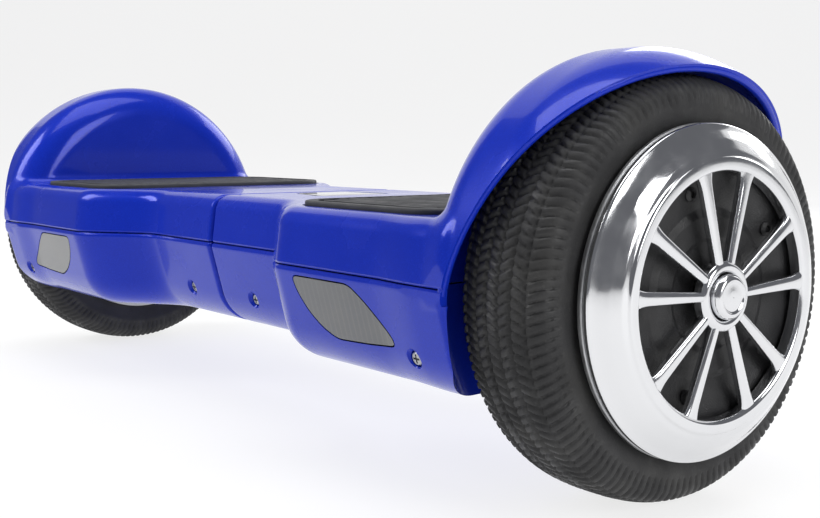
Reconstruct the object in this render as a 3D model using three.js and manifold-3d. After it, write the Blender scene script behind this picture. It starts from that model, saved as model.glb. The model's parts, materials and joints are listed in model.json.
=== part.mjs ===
// A self-balancing two-wheeled board: two halves that twist against each other about a centre tube,
// each carried on a hub-motor wheel under a domed fender.
// Millimetres. X runs along the wheel axles with the right wheel at +X, the front faces -Y, +Z is up.
// The origin is on the ground, midway between the wheels.
import * as THREE from "three";
import { mergeVertices } from "three/addons/utils/BufferGeometryUtils.js";
import Module from "manifold-3d";

const wasm = await Module();
wasm.setup();

// ---------- driving dimensions ----------
const AXLE_Z = 84; // also the tyre's radius, so the wheels stand on Z = 0
const SPLIT_Z = 88; // parting plane of the upper and lower shells
const DECK_Z = 113;
const BELLY_Z = 43.5;
const WALL = 3;
const DECK_THICK = 6;
const GAP = 0.3; // clearance between touching pieces
const PARTING = 0.6; // gap between the upper and the lower shell
const CENTRE_GAP = 1; // half of the slit between the two halves

const NECK_HALF = 64; // half width of the waist
const WING_HALF = 92; // half width beside the wheels
const NECK_END = 64; // X where the waist starts to widen
const WING_START = 118; // X where the full width is reached
const FLARE_START = 185; // X where the side starts to flare out to the fender
const FLARE_LENGTH = 30;
const SIDE_LEAN = THREE.MathUtils.degToRad(15); // slope of the lower shell's sides
const SIDE_TOP = SPLIT_Z - 4; // height where that slope starts
const SIDE_DRAFT = 2; // the upper side leans in by this much up to the deck's rounding
const DECK_ROUND = 9;
const BELLY_ROUND = 24;

const FENDER_WALL = 214; // X of the fender's inboard face
const FENDER_R = 94;
const FENDER_ROUND = 21; // rounding from the inboard face to the crown
const FENDER_TIP = 276; // X of the fender's edge above the wheel
const FENDER_SIDE = 232; // X of the fender's edge at axle height
const CROWN_END = 246; // X where the crown starts to fall outboard
const CROWN_FALL = 11; // drop of the crown from there to the tip
const EDGE_SWEEP = 1.35; // 1 is a straight free edge, and more hollows it

const TYRE_X = 248; // middle plane of the tyre
const TYRE_HALF = 23;
const TYRE_SHOULDER = 70; // radius where the tread turns into the sidewall
const WHEEL_SIDES = 32; // facets round the tyre, rim, magnets and hub cap
const BEAD_R = 60.5;
const LIP_R = 64.5; // outer radius of the rim flange and of the hub cap
const CAP_FACE_R = 50; // radius of the cap's spoked face
const SPOKE_PAIRS = 5;
const SPOKE_SPREAD = 15; // degrees from a pair's middle to each of its spokes
const SPOKE_OUTLINE = [[-1.9, 10], [1.9, 10], [3, 48.5], [-3, 48.5]]; // across and along a spoke
const SPOKE_THICK = 4;
const HUB_R = 9; // bore of the cap's centre ring

const BAND_FOOT = 26.1; // hub cap and back plate start this far outboard of the tyre's middle
const MAGNET_R = 55; // inner radius of the rim's drum, which the magnets line
const STATOR_R = 49;
const BEARING_R = 16.5;

const TUBE_R = 16; // centre tube
const BUSH_R = 18.5;
const HOUSING_R = 22;
const HOUSING = [8, 72]; // X of the housing's ends
const AXLE_HOLE_R = 19; // hole in the fender's wall
const AXLE_R = 8;
const AXLE_START = 174; // X of the axle's inner end
const CLAMP_BOLT_X = 189;
const CLAMP_BOLT_Y = 17;

// The pad stands clear of its recess all round.
const PAD = {
  from: 102, to: 207, top: DECK_Z + 2.2, thick: 3.6, travel: 1.5, inset: 14, corner: 20, clear: 0.8,
};
const RECESS_Z = PAD.top - PAD.thick - PAD.travel - GAP;
const PLUNGER = { x: 142, y: 44, halfX: 11, halfY: 5, foot: 100 };
const FLAG = { halfX: 3, halfY: 1, foot: 93.5 }; // thin tongue under a plunger
const GATE = { halfX: 5, offset: 4.5, half: 2, from: 90, to: 97 }; // posts of its light gate
const SENSOR_BOARD = [[108, -56, 88.5], [170, 56, 90.2]];

const PLATE = { from: 101, to: 105.4 }; // Z of the frame's deck plate
const RIB_FOOT = 91;
const SADDLE = { from: 172, to: 206, half: 26 };
const CLAMP = { from: 176, to: 202, foot: 70 };

const BUTTON = { x: 122, z: 66, r: 7, travel: 1.5 };
const SOCKET = { x: 156, z: 66, r: 9.5, bore: 6 };
const BOSS_DEPTH = 11;
const BOSS_WALL = 4;
const FLANGE = 3; // how far the socket's flange and its lid reach past its barrel
const SCREWS = [{ x: 34, z: 60 }, { x: 207, z: 58 }];
const SCREW_R = 3;
const FAR = 200; // past every side of the board, for cutting blocks

// ---------- materials ----------
const finish = (color, roughness, metalness) =>
  new THREE.MeshStandardMaterial({ color, roughness, metalness });
const BLUE = finish(0x1230b4, 0.12, 0.3);
const RUBBER = finish(0x2e2e2e, 0.8, 0);
const CHROME = finish(0xdadada, 0.12, 1);
const ALLOY = finish(0x9a9c9e, 0.45, 0.9);
const STEEL = finish(0x8c8f92, 0.3, 1);
const BLACK = finish(0x0c0c0d, 0.4, 0);
const LENS = finish(0x77777c, 0.25, 0);
const CIRCUIT = finish(0x14532d, 0.6, 0);
const COPPER = finish(0xb8703a, 0.4, 0.8);
const BATTERY = finish(0x2a4f9e, 0.5, 0);
const NYLON = finish(0xe6e2d8, 0.6, 0);

// ---------- solids ----------
// A closed three.js geometry as a manifold-3d solid with its faces outward.
function solid(geometry) {
  const bare = geometry.index ? geometry.toNonIndexed() : geometry.clone();
  bare.deleteAttribute("normal");
  bare.deleteAttribute("uv");
  const merged = mergeVertices(bare, 1e-3);
  const triVerts = new Uint32Array(merged.index.array);
  const make = () =>
    new wasm.Manifold(
      new wasm.Mesh({ numProp: 3, vertProperties: merged.attributes.position.array, triVerts }),
    );
  const first = make();
  if (first.volume() > 0) return first;
  triVerts.reverse();
  return make();
}

// A manifold-3d solid as a three.js geometry.
function geometryOf(manifold) {
  const m = manifold.getMesh();
  const positions = new Float32Array(m.numVert * 3);
  for (let i = 0; i < m.numVert; i++) {
    positions.set(m.vertProperties.subarray(i * m.numProp, i * m.numProp + 3), i * 3);
  }
  const g = new THREE.BufferGeometry();
  g.setAttribute("position", new THREE.BufferAttribute(positions, 3));
  g.setIndex(new THREE.BufferAttribute(m.triVerts, 1));
  return g;
}

const join = (...solids) => solids.reduce((a, b) => a.add(b));
const cut = (base, ...tools) => tools.reduce((a, b) => a.subtract(b), base);

// A box between two corners.
function block([x0, y0, z0], [x1, y1, z1]) {
  const g = new THREE.BoxGeometry(x1 - x0, y1 - y0, z1 - z0);
  return solid(g.translate((x0 + x1) / 2, (y0 + y1) / 2, (z0 + z1) / 2));
}

// Turned about the wheel axle from a profile of [radius, X] that closes on itself or on the axis.
// A flat lies at the bottom, at the profile's own radius.
function turned(profile, segments = 40) {
  const flat = 1 / Math.cos(Math.PI / segments);
  const points = [...profile, profile[0]].map(([r, x]) => new THREE.Vector2(r * flat, x));
  const g = new THREE.LatheGeometry(points, segments, Math.PI / segments);
  return solid(g.rotateZ(-Math.PI / 2).translate(0, 0, AXLE_Z));
}

const ring = (inner, outer, x0, x1, segments = 24) =>
  turned([[inner, x0], [outer, x0], [outer, x1], [inner, x1]], segments);
const drum = (radius, x0, x1, segments = 24) =>
  turned([[0, x0], [radius, x0], [radius, x1], [0, x1]], segments);

// A round bar along +X, +Y or +Z from a point.
function rod(axis, radius, length, [x, y, z], segments = 20) {
  const g = new THREE.CylinderGeometry(radius, radius, length, segments).translate(0, length / 2, 0);
  if (axis === "x") g.rotateZ(-Math.PI / 2);
  if (axis === "z") g.rotateX(Math.PI / 2);
  return solid(g.translate(x, y, z));
}

// An outline of [X, Y] raised from z0 to z1.
function slab(outline, z0, z1) {
  const shape = new THREE.Shape(outline.map(([x, y]) => new THREE.Vector2(x, y)));
  const g = new THREE.ExtrudeGeometry(shape, { depth: z1 - z0, bevelEnabled: false });
  return solid(g.translate(0, 0, z0));
}

// An outline of [X, Z] drawn out from y0 to y1.
function panel(outline, y0, y1) {
  const shape = new THREE.Shape(outline.map(([x, z]) => new THREE.Vector2(x, z)));
  const g = new THREE.ExtrudeGeometry(shape, { depth: y1 - y0, bevelEnabled: false });
  return solid(g.rotateX(Math.PI / 2).translate(0, y1, 0));
}

// A skin over closed sections of [Y, Z] points, one at each X station, with flat ends.
function loft(stations, section) {
  const rings = stations.map(section);
  const n = rings[0].length;
  const positions = rings.flatMap((points, i) => points.flatMap(([y, z]) => [stations[i], y, z]));
  const index = [];
  for (let i = 0; i + 1 < rings.length; i++) {
    for (let k = 0; k < n; k++) {
      const a = i * n + k;
      const b = i * n + ((k + 1) % n);
      index.push(a, b, a + n, b, b + n, a + n);
    }
  }
  const last = (rings.length - 1) * n;
  const outline = rings[0].map(([y, z]) => new THREE.Vector2(y, z));
  for (const [a, b, c] of THREE.ShapeUtils.triangulateShape(outline, [])) {
    index.push(c, b, a, last + a, last + b, last + c);
  }
  const g = new THREE.BufferGeometry();
  g.setAttribute("position", new THREE.Float32BufferAttribute(positions, 3));
  g.setIndex(index);
  return solid(g);
}

const smooth = (t) => {
  const c = Math.min(1, Math.max(0, t));
  return c * c * (3 - 2 * c);
};

// ---------- outline of one half, drawn for the right-hand side ----------
const halfWidth = (x) =>
  NECK_HALF +
  (WING_HALF - NECK_HALF) * smooth((x - NECK_END) / (WING_START - NECK_END)) +
  (FENDER_R - WING_HALF) * smooth((x - FLARE_START) / FLARE_LENGTH);


// Y of the lower shell's sloping side at a height.
const slopeY = (x, z) => halfWidth(x) - (SIDE_TOP - z) * Math.tan(SIDE_LEAN);

// Cross-section of the body at X, moved inwards by inset and down from the deck by deckInset.
function bodySection(x, inset = 0, deckInset = inset) {
  const w = halfWidth(x) - inset;
  const top = DECK_Z - deckInset;
  const low = BELLY_Z + inset;
  const round = Math.max(2, DECK_ROUND - inset);
  const half = [];
  for (let i = 0; i <= 3; i++) {
    const a = ((3 - i) * Math.PI) / 6;
    half.push([w - SIDE_DRAFT - round + round * Math.cos(a), top - round + round * Math.sin(a)]);
  }
  half.push([w, SPLIT_Z + 2], [w, SIDE_TOP]);
  // The belly's rounding touches both the sloping side and the flat underneath.
  const centreZ = low + BELLY_ROUND;
  const touchZ = centreZ - BELLY_ROUND * Math.sin(SIDE_LEAN);
  const centreY = w - (SIDE_TOP - touchZ) * Math.tan(SIDE_LEAN) - BELLY_ROUND * Math.cos(SIDE_LEAN);
  for (let i = 0; i <= 4; i++) {
    const a = -SIDE_LEAN - (i / 4) * (Math.PI / 2 - SIDE_LEAN);
    half.push([centreY + BELLY_ROUND * Math.cos(a), centreZ + BELLY_ROUND * Math.sin(a)]);
  }
  return [...half.map(([y, z]) => [-y, z]), ...half.reverse()];
}

const stations = (first, last) =>
  [first, NECK_END, 74, 84, 95, 106, WING_START, 150, FLARE_START, 200, last];
const bodyOuter = loft(stations(CENTRE_GAP, FENDER_SIDE), (x) => bodySection(x));
const bodyCavity = loft(
  stations(CENTRE_GAP + WALL, FENDER_WALL),
  (x) => bodySection(x, WALL, DECK_THICK),
);

// ---------- fender ----------
// Turned profile of the dome, moved inwards by inset and ending at endX.
function fenderProfile(inset, endX) {
  const profile = [[0, FENDER_WALL + inset]];
  const r = FENDER_ROUND - inset;
  for (let i = 0; i <= 4; i++) {
    const a = (i * Math.PI) / 8;
    const centreR = FENDER_R - FENDER_ROUND;
    profile.push([centreR + r * Math.sin(a), FENDER_WALL + FENDER_ROUND - r * Math.cos(a)]);
  }
  for (const t of [0, 0.4, 0.75, 1]) {
    profile.push([FENDER_R - inset - CROWN_FALL * t * t, CROWN_END + t * (FENDER_TIP - CROWN_END)]);
  }
  if (endX > FENDER_TIP) profile.push([FENDER_R - inset - CROWN_FALL, endX]);
  return [...profile, [0, endX]];
}

// The side view of the dome: its free edge sweeps from the tip back to the body at axle height.
function fenderTrim() {
  const outline = [[200, SPLIT_Z]];
  for (let i = 0; i <= 8; i++) {
    const t = i / 8;
    const x = FENDER_SIDE + (FENDER_TIP - FENDER_SIDE) * t ** EDGE_SWEEP;
    outline.push([x, AXLE_Z + t * FENDER_R]);
  }
  outline.push([FENDER_TIP, FAR], [200, FAR]);
  return panel(outline, -FAR, FAR);
}

const dome = (profile) => turned(profile, 48);
const fenderOuter = dome(fenderProfile(0, FENDER_TIP)).intersect(fenderTrim());
const wheelWell = dome(fenderProfile(WALL, FENDER_TIP + 20));
const axleHole = rod("x", AXLE_HOLE_R, 20, [FENDER_WALL - 9, 0, AXLE_Z]);
const tubeHole = rod("x", HOUSING_R + 1, 10, [-2, 0, AXLE_Z]);

// ---------- footpad and its switch plungers ----------
// The pad's plan, grown by margin: it follows the body's outline and has rounded corners.
function padOutline(margin = 0) {
  const x0 = PAD.from - margin;
  const x1 = PAD.to + margin;
  const edge = (x) => halfWidth(x) - PAD.inset + margin;
  const side = [];
  for (let i = 0; i <= 3; i++) {
    const a = (i * Math.PI) / 6;
    const x = x0 + PAD.corner * (1 - Math.cos(a));
    side.push([x, edge(x0 + PAD.corner) - PAD.corner * (1 - Math.sin(a))]);
  }
  for (const x of [WING_START + 8, 160]) side.push([x, edge(x)]);
  for (let i = 0; i <= 3; i++) {
    const a = (i * Math.PI) / 6;
    const x = x1 - PAD.corner * (1 - Math.sin(a));
    side.push([x, edge(x1 - PAD.corner) - PAD.corner * (1 - Math.cos(a))]);
  }
  return [...side.map(([x, y]) => [x, -y]), ...side.reverse()];
}

// A box round a plunger, larger by margin.
const plungerBlock = (side, margin, z0, z1) =>
  block(
    [PLUNGER.x - PLUNGER.halfX - margin, side * PLUNGER.y - PLUNGER.halfY - margin, z0],
    [PLUNGER.x + PLUNGER.halfX + margin, side * PLUNGER.y + PLUNGER.halfY + margin, z1],
  );
const plungerHoles = join(plungerBlock(1, 1, 80, PAD.top), plungerBlock(-1, 1, 80, PAD.top));

// A plunger carries the pad's load down and drops a thin flag between the posts of its light gate.
function plunger(side) {
  const y = side * PLUNGER.y;
  const flag = block(
    [PLUNGER.x - FLAG.halfX, y - FLAG.halfY, FLAG.foot],
    [PLUNGER.x + FLAG.halfX, y + FLAG.halfY, PLUNGER.foot + 0.5],
  );
  return join(plungerBlock(side, 0, PLUNGER.foot, PAD.top - PAD.thick - GAP), flag);
}

function sensorBoard() {
  const posts = [-1, 1].flatMap((side) =>
    [-1, 1].map((half) => {
      const y = side * PLUNGER.y + half * GATE.offset;
      return block(
        [PLUNGER.x - GATE.halfX, y - GATE.half, GATE.from],
        [PLUNGER.x + GATE.halfX, y + GATE.half, GATE.to],
      );
    }),
  );
  return join(block(...SENSOR_BOARD), ...posts);
}

// ---------- openings in the shells ----------
const WINDOW = [[9, -15], [44, -21], [44, 21], [9, 15]]; // indicator window on the waist
const WINDOW_THICK = 2.6;
// The window's outline with each corner moved outwards by m.
const windowGrown = (m) => WINDOW.map(([x, y]) => [x + (x > 20 ? m : -m), y + Math.sign(y) * m]);

// Headlight outline of [X, Z]: a leaf under the parting line that narrows and drops outboard.
function lensOutline(m = 0) {
  return [
    [127 - m, SIDE_TOP + m],
    [170 + m, SIDE_TOP + m],
    [179 + m, 78 + m],
    [187 + m, 71 + m],
    [194 + m, 65],
    [195 + m, 61.5 - m],
    [176, 60 - m],
    [153, 59 - m],
    [143 - m, 63 - m],
    [135 - m, 69 - m],
    [129 - m, 77],
  ];
}
const lensTool = (m) => panel(lensOutline(m), -FAR, -NECK_HALF / 2);

// A bar square to the lower shell's sloping side, from and to measured outwards from its surface.
function slopeRod(side, radius, from, to, { x, z }, segments = 20) {
  const g = new THREE.CylinderGeometry(radius, radius, to - from, segments);
  g.translate(0, (from + to) / 2, 0).rotateX(side > 0 ? -SIDE_LEAN : Math.PI + SIDE_LEAN);
  return solid(g.translate(x, side * slopeY(x, z), z));
}

// ---------- shells ----------
function upperShell(hasWindow) {
  const body = cut(join(bodyOuter, fenderOuter), bodyCavity, wheelWell, axleHole, tubeHole);
  const top = body.intersect(block([-FAR, -FAR, SPLIT_Z + PARTING / 2], [2 * FAR, FAR, FAR]));
  const shell = cut(top, plungerHoles, slab(padOutline(PAD.clear), RECESS_Z, FAR));
  if (!hasWindow) return shell;
  const seat = slab(windowGrown(GAP), DECK_Z - WINDOW_THICK - 0.4, FAR);
  return cut(shell, seat, slab(windowGrown(-3), SPLIT_Z, DECK_Z));
}

const lowerBlank = cut(bodyOuter, bodyCavity, wheelWell, axleHole, tubeHole).intersect(
  block([-FAR, -FAR, -FAR], [2 * FAR, FAR, SPLIT_Z - PARTING / 2]),
);

function lowerShell(hasControls) {
  const screwHoles = SCREWS.map((at) => slopeRod(-1, SCREW_R + GAP, -20, 10, at, 12));
  const shell = cut(lowerBlank, lensTool(GAP), ...screwHoles);
  if (!hasControls) return shell;
  return [BUTTON, SOCKET].reduce((s, at) => {
    const boss = slopeRod(1, at.r + BOSS_WALL, -BOSS_DEPTH, -0.5, at);
    return cut(join(s, boss), slopeRod(1, at.r + GAP, -40, 20, at));
  }, shell);
}

// ---------- wheel with its hub motor ----------
const hub = (x) => TYRE_X + x;

function tyre() {
  const outer = [];
  for (let i = 0; i <= 8; i++) {
    const c = Math.cos((i * Math.PI) / 8);
    const s = Math.sin((i * Math.PI) / 8);
    // A squared-off arc: flat crown, round shoulders.
    const r = TYRE_SHOULDER + (AXLE_Z - TYRE_SHOULDER) * s ** 0.7;
    outer.push([r, hub(-TYRE_HALF * Math.sign(c) * Math.abs(c) ** 0.62)]);
  }
  return turned([[BEAD_R, hub(-21)], ...outer, [BEAD_R, hub(21)]], WHEEL_SIDES);
}

// Drum with its web, its outboard flange and the seat of the outer bearing.
const rim = () =>
  turned([
    [BEARING_R + GAP, hub(9)],
    [BEARING_R + GAP, hub(19)],
    [50, hub(19)],
    [MAGNET_R, hub(25)],
    [LIP_R, hub(25.8)],
    [LIP_R, hub(23.4)],
    [BEAD_R - GAP, hub(21.5)],
    [BEAD_R - GAP, hub(-21)],
    [MAGNET_R, hub(-21)],
    [MAGNET_R, hub(16)],
    [22, hub(16)],
    [22, hub(9)],
  ], WHEEL_SIDES);

// Inboard side plate with the seat of the inner bearing.
const motorCover = () =>
  turned([
    [BEARING_R + GAP, hub(-26)],
    [BEARING_R + GAP, hub(-15)],
    [22, hub(-15)],
    [22, hub(-21.4)],
    [BEAD_R - 0.5, hub(-21.4)],
    [BEAD_R - 0.5, hub(-24)],
    [30, hub(-26)],
  ], 24);

function stator() {
  const teeth = 12;
  const root = 30;
  const neck = STATOR_R - 5;
  // Radius and share of the tooth's pitch: half a slot, the flared tooth, and half a slot again.
  const tooth = [
    [root, 0], [root, 0.26], [neck, 0.3], [STATOR_R, 0.08], [STATOR_R, 0.92], [neck, 0.7], [root, 0.74],
  ];
  const points = [];
  for (let i = 0; i < teeth; i++) {
    for (const [r, share] of tooth) {
      const a = ((i + share) / teeth) * 2 * Math.PI;
      points.push(new THREE.Vector2(r * Math.cos(a), r * Math.sin(a)));
    }
  }
  const shape = new THREE.Shape(points);
  const bore = new THREE.Path();
  bore.absarc(0, 0, AXLE_R + GAP, 0, 2 * Math.PI, true);
  shape.holes.push(bore);
  const g = new THREE.ExtrudeGeometry(shape, { depth: 21, bevelEnabled: false, curveSegments: 10 });
  return solid(g.rotateY(Math.PI / 2).translate(hub(-13), 0, AXLE_Z));
}

// The fixed axle has a flat on top that the frame's saddle keeps from turning.
const axle = () =>
  cut(
    rod("x", AXLE_R, hub(19) - AXLE_START, [AXLE_START, 0, AXLE_Z]),
    block([AXLE_START - 4, -20, AXLE_Z + 6], [FENDER_WALL - 2, 20, AXLE_Z + 20]),
  );

// Spoked cap: a bulging band round the rim flange, ten spokes in five pairs, and a centre ring.
function hubCap() {
  const band = turned([
    [LIP_R, hub(BAND_FOOT)],
    [LIP_R, hub(28.2)],
    [LIP_R - 2, hub(31)],
    [LIP_R - 8, hub(35.6)],
    [CAP_FACE_R, hub(37.4)],
    [CAP_FACE_R - 3, hub(36.6)],
    [CAP_FACE_R - 3, hub(33)],
    [LIP_R - 9, hub(31.5)],
    [LIP_R - 7, hub(BAND_FOOT)],
  ], WHEEL_SIDES);
  const outline = new THREE.Shape(SPOKE_OUTLINE.map(([u, v]) => new THREE.Vector2(u, v)));
  const arms = [];
  for (let i = 0; i < 2 * SPOKE_PAIRS; i++) {
    const turn = (Math.floor(i / 2) * 360) / SPOKE_PAIRS + (i % 2 ? SPOKE_SPREAD : -SPOKE_SPREAD);
    const g = new THREE.ExtrudeGeometry(outline, { depth: SPOKE_THICK, bevelEnabled: false });
    // The outline's plane becomes YZ and its depth runs along X.
    g.rotateX(Math.PI / 2).rotateZ(Math.PI / 2).rotateX(THREE.MathUtils.degToRad(turn));
    arms.push(solid(g.translate(hub(33), 0, AXLE_Z)));
  }
  return join(band, ring(HUB_R, HUB_R + 4, hub(32.6), hub(37.8)), ...arms);
}

const backPlate = () =>
  turned([
    [HUB_R, hub(BAND_FOOT)],
    [HUB_R, hub(28.6)],
    [30, hub(28.6)],
    [CAP_FACE_R, hub(31)],
    [54, hub(31)],
    [54, hub(BAND_FOOT)],
  ], 24);

function centreCap() {
  const r = HUB_R - 0.4;
  return turned([[0, hub(31)], [r, hub(31)], [r, hub(39.5)], [r - 2.2, hub(41)], [0, hub(41)]], 20);
}

// ---------- chassis ----------
const boltAt = (side, z) => [CLAMP_BOLT_X, side * CLAMP_BOLT_Y, z];
const boltHoles = join(...[-1, 1].map((side) => rod("z", 3.1, 40, boltAt(side, 60), 12)));
const axleBore = rod("x", AXLE_R + GAP, 60, [160, 0, AXLE_Z]);

// Cast frame: a waisted deck plate on ribs, the centre tube's housing, and the saddle over the axle.
function frame(bore) {
  const half = [[30, 30], [70, 36], [110, 62], [206, 66]];
  const plate = slab([...half.map(([x, y]) => [x, -y]), ...half.reverse()], PLATE.from, PLATE.to);
  const longRib = (x0, x1, y) => block([x0, y, RIB_FOOT], [x1, y + 4, PLATE.from + 1]);
  const ribs = [longRib(84, 180, 18), longRib(84, 180, -22), longRib(112, 204, 57), longRib(112, 204, -61)];
  const saddle = block(
    [SADDLE.from, -SADDLE.half, AXLE_Z + GAP],
    [SADDLE.to, SADDLE.half, PLATE.from + 1],
  );
  // Room for the tube's collar and circlip beyond the housing.
  const collarRoom = rod("x", HOUSING_R + 1, 20, [60, 0, AXLE_Z]);
  const housing = drum(HOUSING_R, HOUSING[0], HOUSING[1]);
  return cut(
    join(cut(join(plate, ...ribs, saddle), collarRoom), housing),
    drum(bore, 0, 80),
    axleBore,
    plungerHoles,
    boltHoles,
  );
}

const axleClamp = () =>
  cut(
    block([CLAMP.from, -SADDLE.half, CLAMP.foot], [CLAMP.to, SADDLE.half, AXLE_Z - GAP]),
    axleBore,
    boltHoles,
  );

// A screw up into the saddle, with its head under the clamp.
const clampBolt = (side) =>
  join(
    rod("z", 2.8, 28, boltAt(side, CLAMP.foot - 4), 12),
    rod("z", 5, 5, boltAt(side, CLAMP.foot - 5 - GAP), 6),
  );

// A flanged bush of the centre tube: a sleeve and a collar at one end.
const bush = (x0, x1, collarX) =>
  join(ring(TUBE_R + GAP, BUSH_R, x0, x1), ring(TUBE_R + GAP, 21, collarX, collarX + 1.6));

// ---------- small electrical pieces ----------
const powerButton = () =>
  join(
    slopeRod(1, BUTTON.r, -BOSS_DEPTH - 2, BUTTON.travel, BUTTON),
    slopeRod(1, BUTTON.r + 2, -BOSS_DEPTH - 2, -BOSS_DEPTH - 0.5, BUTTON),
  );

const chargeSocket = () =>
  cut(
    join(
      slopeRod(1, SOCKET.r, -16, -GAP, SOCKET),
      slopeRod(1, SOCKET.r + FLANGE, -14, -BOSS_DEPTH - 0.5, SOCKET),
    ),
    slopeRod(1, SOCKET.bore, -11, 2, SOCKET),
  );

// Rubber lid of the charge socket: a disc, a short plug inside the bore and a tongue to its hinge line.
function chargeLid() {
  const tongue = new THREE.BoxGeometry(9, 2, 8).translate(0, 1.2 + GAP, 12);
  tongue.rotateX(-SIDE_LEAN).translate(SOCKET.x, slopeY(SOCKET.x, SOCKET.z), SOCKET.z);
  return join(
    slopeRod(1, SOCKET.r + FLANGE, GAP, 2.4, SOCKET),
    slopeRod(1, SOCKET.bore - 1, -2, 1, SOCKET),
    solid(tongue),
  );
}

// ---------- assembly ----------
const board = new THREE.Group();
const right = new THREE.Group();
const left = new THREE.Group();
left.scale.x = -1;
board.add(left, right);

function place(group, name, shape, material) {
  const mesh = new THREE.Mesh(geometryOf(shape), material);
  mesh.name = name;
  group.add(mesh);
}

// Pieces that both halves have, the left ones mirrored.
for (const [side, group] of [["left", left], ["right", right]]) {
  const isRight = side === "right";
  const add = (name, shape, material) => place(group, `${side}_${name}`, shape, material);
  add("upper_shell", upperShell(isRight), BLUE);
  add("lower_shell", lowerShell(isRight), BLUE);
  add("headlight_lens", lowerBlank.intersect(lensTool(0)), LENS);
  add("headlight_board", block([136, -79.4, 63], [172, -77.8, 77]), CIRCUIT);
  add("frame", frame(isRight ? BUSH_R + GAP : TUBE_R + GAP), ALLOY);
  add("axle_clamp", axleClamp(), ALLOY);
  add("clamp_bolt_front", clampBolt(-1), STEEL);
  add("clamp_bolt_rear", clampBolt(1), STEEL);
  add("sensor_board", sensorBoard(), CIRCUIT);
  add("motor_axle", axle(), STEEL);
  add("motor_stator", stator(), COPPER);
  add("foot_pad", slab(padOutline(), PAD.top - PAD.thick, PAD.top), RUBBER);
  add("switch_plunger_front", plunger(-1), NYLON);
  add("switch_plunger_rear", plunger(1), NYLON);
  add("tyre", tyre(), RUBBER);
  add("rim", rim(), ALLOY);
  add("magnet_ring", ring(STATOR_R + 1.2, MAGNET_R - GAP, hub(-14), hub(14), WHEEL_SIDES), STEEL);
  add("motor_cover", motorCover(), ALLOY);
  add("inner_bearing", ring(AXLE_R + GAP, BEARING_R, hub(-25), hub(-16)), STEEL);
  add("outer_bearing", ring(AXLE_R + GAP, BEARING_R, hub(10), hub(18.5)), STEEL);
  add("hub_back_plate", backPlate(), BLACK);
  add("hub_cap", hubCap(), CHROME);
  add("hub_centre_cap", centreCap(), CHROME);
  SCREWS.forEach((at, i) => {
    add(`shell_screw_${i + 1}`, slopeRod(-1, SCREW_R, -9, -1.5, at, 12), STEEL);
  });
}

// Centre pivot: the tube is held in the left frame and turns in two bushes of the right frame.
place(board, "pivot_tube", ring(12, TUBE_R, -HOUSING[1] - 2, 79), STEEL);
place(board, "pivot_bush_inner", bush(HOUSING[0] - 1.9, 30, HOUSING[0] - 1.9), NYLON);
place(board, "pivot_bush_outer", bush(50, HOUSING[1] + 1.9, HOUSING[1] + GAP), NYLON);
place(board, "pivot_circlip", ring(TUBE_R + GAP, 20, HOUSING[1] + 2.4, HOUSING[1] + 4.2), STEEL);

place(left, "battery_pack", block([108, -58, 48], [172, 58, 86]), BATTERY);
place(
  right,
  "control_board",
  join(block([108, -58, 60], [170, 58, 61.8]), block([118, -32, 61.5], [160, 32, 74])),
  CIRCUIT,
);
place(right, "indicator_window", slab(WINDOW, DECK_Z - WINDOW_THICK, DECK_Z), BLACK);
place(right, "power_button", powerButton(), BLACK);
place(right, "charge_socket", chargeSocket(), BLACK);
place(right, "charge_port_lid", chargeLid(), RUBBER);

export default board;
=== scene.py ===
"""Looks of a self-balancing two-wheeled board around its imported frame. Metres, +Z up, front at -Y.

Shapes are drawn for the right half in millimetres and mirrored for the left.
"""

import json
import math

import bpy
import numpy as np
from mathutils import Matrix, Vector


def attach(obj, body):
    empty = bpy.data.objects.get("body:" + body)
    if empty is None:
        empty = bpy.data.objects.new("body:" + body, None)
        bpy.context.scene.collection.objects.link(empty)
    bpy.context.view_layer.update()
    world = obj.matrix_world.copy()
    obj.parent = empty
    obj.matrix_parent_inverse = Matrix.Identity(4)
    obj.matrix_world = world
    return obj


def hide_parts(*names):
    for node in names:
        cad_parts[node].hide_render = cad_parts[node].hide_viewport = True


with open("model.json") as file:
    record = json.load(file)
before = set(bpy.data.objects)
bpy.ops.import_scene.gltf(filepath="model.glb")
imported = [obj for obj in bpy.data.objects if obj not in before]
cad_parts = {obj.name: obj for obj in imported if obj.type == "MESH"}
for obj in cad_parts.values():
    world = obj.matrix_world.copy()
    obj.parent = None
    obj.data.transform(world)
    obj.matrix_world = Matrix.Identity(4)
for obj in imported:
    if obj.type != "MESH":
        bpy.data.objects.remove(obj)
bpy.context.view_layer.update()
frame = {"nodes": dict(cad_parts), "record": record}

MM = 0.001

# ---------- dimensions shared with the CAD source, in mm ----------
AXLE_Z = 84.0
SPLIT_Z = 88.0
DECK_Z = 113.0
BELLY_Z = 43.5
WALL = 3.0
DECK_THICK = 6.0
PARTING = 0.6
CENTRE_GAP = 1.0
NECK_HALF, WING_HALF = 64.0, 92.0
NECK_END, WING_START = 64.0, 118.0
FLARE_START, FLARE_LENGTH = 185.0, 30.0
SIDE_LEAN = math.radians(15)
SIDE_TOP = SPLIT_Z - 4
DECK_ROUND, BELLY_ROUND = 9.0, 24.0
FENDER_WALL, FENDER_R, FENDER_ROUND = 214.0, 94.0, 21.0
FENDER_TIP, FENDER_SIDE = 276.0, 232.0
CROWN_END, CROWN_FALL = 246.0, 11.0
TYRE_X, TYRE_HALF, TYRE_SHOULDER = 248.0, 23.0, 70.0
BEAD_R, LIP_R, CAP_FACE_R = 60.5, 64.5, 50.0
SPOKE_PAIRS, SPOKE_SPREAD = 5, 15.0
PAD_FROM, PAD_TO, PAD_TOP, PAD_THICK, PAD_INSET, PAD_CORNER = 102.0, 207.0, 115.2, 3.6, 14.0, 20.0
RECESS_Z = 109.8
PLUNGER_X, PLUNGER_Y = 142.0, 44.0
BUTTON_X, SOCKET_X, CONTROL_Z = 122.0, 156.0, 66.0
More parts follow.
